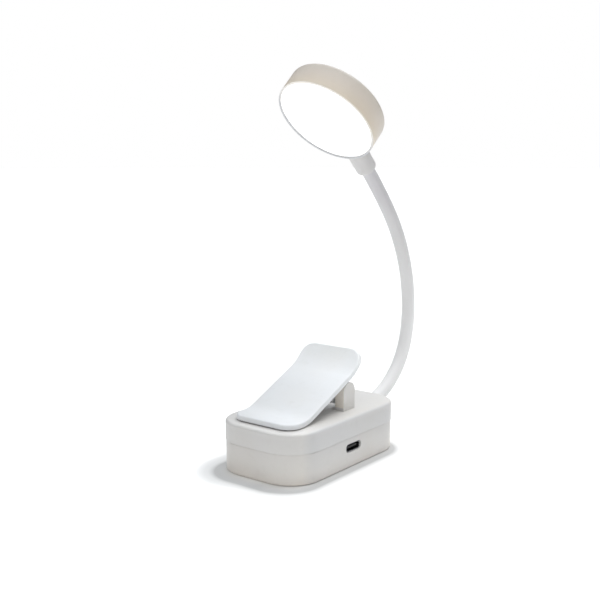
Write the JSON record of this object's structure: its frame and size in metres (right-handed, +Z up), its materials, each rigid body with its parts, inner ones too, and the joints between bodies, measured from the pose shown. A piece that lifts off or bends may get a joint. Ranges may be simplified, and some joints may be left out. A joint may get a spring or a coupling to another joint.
{
  "type": "clip-on reading lamp",
  "caption": "Cordless clip-on reading lamp: rounded battery base with a spring clip lever, bendable neck and a round LED head with an opal face.",
  "frame": {"origin": "middle of the base's underside, on the surface it stands on", "axes": "+Z up; the base is long in Y, with the clip's jaw at -Y and the neck leaving at +Y; the charging socket is at +X"},
  "size_m": [0.0411, 0.1088, 0.1496],
  "materials": {
    "upper_shell": "fine satin",
    "lower_shell": "fine satin",
    "clip_plastic": "smooth satin",
    "button_plastic": "satin",
    "head_plastic": "fine satin",
    "diffuser": "opal, lit",
    "neck_silicone": "matte",
    "spring_steel": "brushed",
    "screw_steel": "plated",
    "socket_metal": "drawn",
    "socket_black": "matte",
    "board_green": "solder mask",
    "led_board_white": "white solder mask",
    "led_package": "phosphor",
    "battery_foil": "foil",
    "tape_foam": "foam",
    "grip_rubber": "matte",
    "lead_insulation": "vinyl"
  },
  "bodies": {
    "base": {"base_lower_shell": "lower_shell", "base_upper_shell": "upper_shell", "base_screws": "screw_steel", "board_screws": "screw_steel", "underside_mat": "grip_rubber", "main_circuit_board": "board_green", "circuit_components": "socket_black", "usb_c_shell": "socket_metal", "usb_c_tongue": "socket_black", "tact_switch": "socket_black", "battery_cell": "battery_foil", "battery_tape": "tape_foam", "battery_leads": "lead_insulation", "lamp_leads": "lead_insulation", "hinge_pin": "spring_steel", "clip_spring": "spring_steel", "base_grip_pad": "grip_rubber", "neck_ferrule": "neck_silicone", "neck_sleeve_0": "neck_silicone", "neck_core_0": "spring_steel", "neck_leads_0": "lead_insulation"},
    "clip": {"clip_lever": "clip_plastic", "jaw_grip_pad": "grip_rubber"},
    "button": {"power_button": "button_plastic"},
    "neck_1": {"neck_sleeve_1": "neck_silicone", "neck_core_1": "spring_steel", "neck_leads_1": "lead_insulation"},
    "neck_2": {"neck_sleeve_2": "neck_silicone", "neck_core_2": "spring_steel", "neck_leads_2": "lead_insulation"},
    "neck_3": {"neck_sleeve_3": "neck_silicone", "neck_core_3": "spring_steel", "neck_leads_3": "lead_insulation"},
    "neck_4": {"neck_sleeve_4": "neck_silicone", "neck_core_4": "spring_steel", "neck_leads_4": "lead_insulation"},
    "neck_5": {"neck_sleeve_5": "neck_silicone", "neck_core_5": "spring_steel", "neck_leads_5": "lead_insulation"},
    "neck_6": {"neck_sleeve_6": "neck_silicone", "neck_core_6": "spring_steel", "neck_leads_6": "lead_insulation"},
    "neck_7": {"neck_sleeve_7": "neck_silicone", "neck_core_7": "spring_steel", "neck_leads_7": "lead_insulation"},
    "head": {"neck_sleeve_8": "neck_silicone", "neck_core_8": "spring_steel", "neck_leads_8": "lead_insulation", "head_housing": "head_plastic", "head_diffuser": "diffuser", "led_board": "led_board_white", "leds": "led_package", "led_board_screws": "screw_steel", "head_leads": "lead_insulation"}
  },
  "joints": [
    {"name": "clip_pivot", "type": "hinge", "parent": "base", "child": "clip", "pos_m": [0, 0.0072, 0.0264], "axis": [-1, 0, 0], "range_deg": [0, 25], "stiffness_Nm_per_rad": 0.3, "springref_deg": -11.46, "deforming": ["clip_spring"]},
    {"name": "power_press", "type": "slide", "parent": "base", "child": "button", "axis": [1, 0, 0], "range_m": [0, 0.0005], "stiffness_N_per_m": 1500},
    {"name": "neck_bend_1", "type": "hinge", "parent": "base", "child": "neck_1", "pos_m": [0, 0.04776, 0.01438], "axis": [1, 0, 0], "range_deg": [-25, 12]},
    {"name": "neck_swing_1", "type": "hinge", "parent": "neck_1", "child": "neck_2", "pos_m": [0, 0.0609, 0.0227], "axis": [0, 0.6997, -0.7145], "range_deg": [-15, 15]},
    {"name": "neck_bend_2", "type": "hinge", "parent": "neck_2", "child": "neck_3", "pos_m": [0, 0.06899, 0.03594], "axis": [1, 0, 0], "range_deg": [-25, 12]},
    {"name": "neck_swing_2", "type": "hinge", "parent": "neck_3", "child": "neck_4", "pos_m": [0, 0.0709, 0.05141], "axis": [0, 0.9984, 0.0558], "range_deg": [-15, 15]},
    {"name": "neck_bend_3", "type": "hinge", "parent": "neck_4", "child": "neck_5", "pos_m": [0, 0.06812, 0.06679], "axis": [1, 0, 0], "range_deg": [-25, 12]},
    {"name": "neck_swing_3", "type": "hinge", "parent": "neck_5", "child": "neck_6", "pos_m": [0, 0.06186, 0.08112], "axis": [0, 0.8669, 0.4985], "range_deg": [-15, 15]},
    {"name": "neck_bend_4", "type": "hinge", "parent": "neck_6", "child": "neck_7", "pos_m": [0, 0.05284, 0.0939], "axis": [1, 0, 0], "range_deg": [-25, 12]},
    {"name": "neck_swing_4", "type": "hinge", "parent": "neck_7", "child": "head", "pos_m": [0, 0.0423, 0.10549], "axis": [0, 0.7181, 0.6959], "range_deg": [-15, 15]}
  ],
  "couplings": [
    {"joint": "neck_bend_2", "follows": "neck_bend_1", "ratio": 1},
    {"joint": "neck_swing_2", "follows": "neck_swing_1", "ratio": 1},
    {"joint": "neck_bend_3", "follows": "neck_bend_1", "ratio": 1},
    {"joint": "neck_swing_3", "follows": "neck_swing_1", "ratio": 1},
    {"joint": "neck_bend_4", "follows": "neck_bend_1", "ratio": 1},
    {"joint": "neck_swing_4", "follows": "neck_swing_1", "ratio": 1}
  ]
}
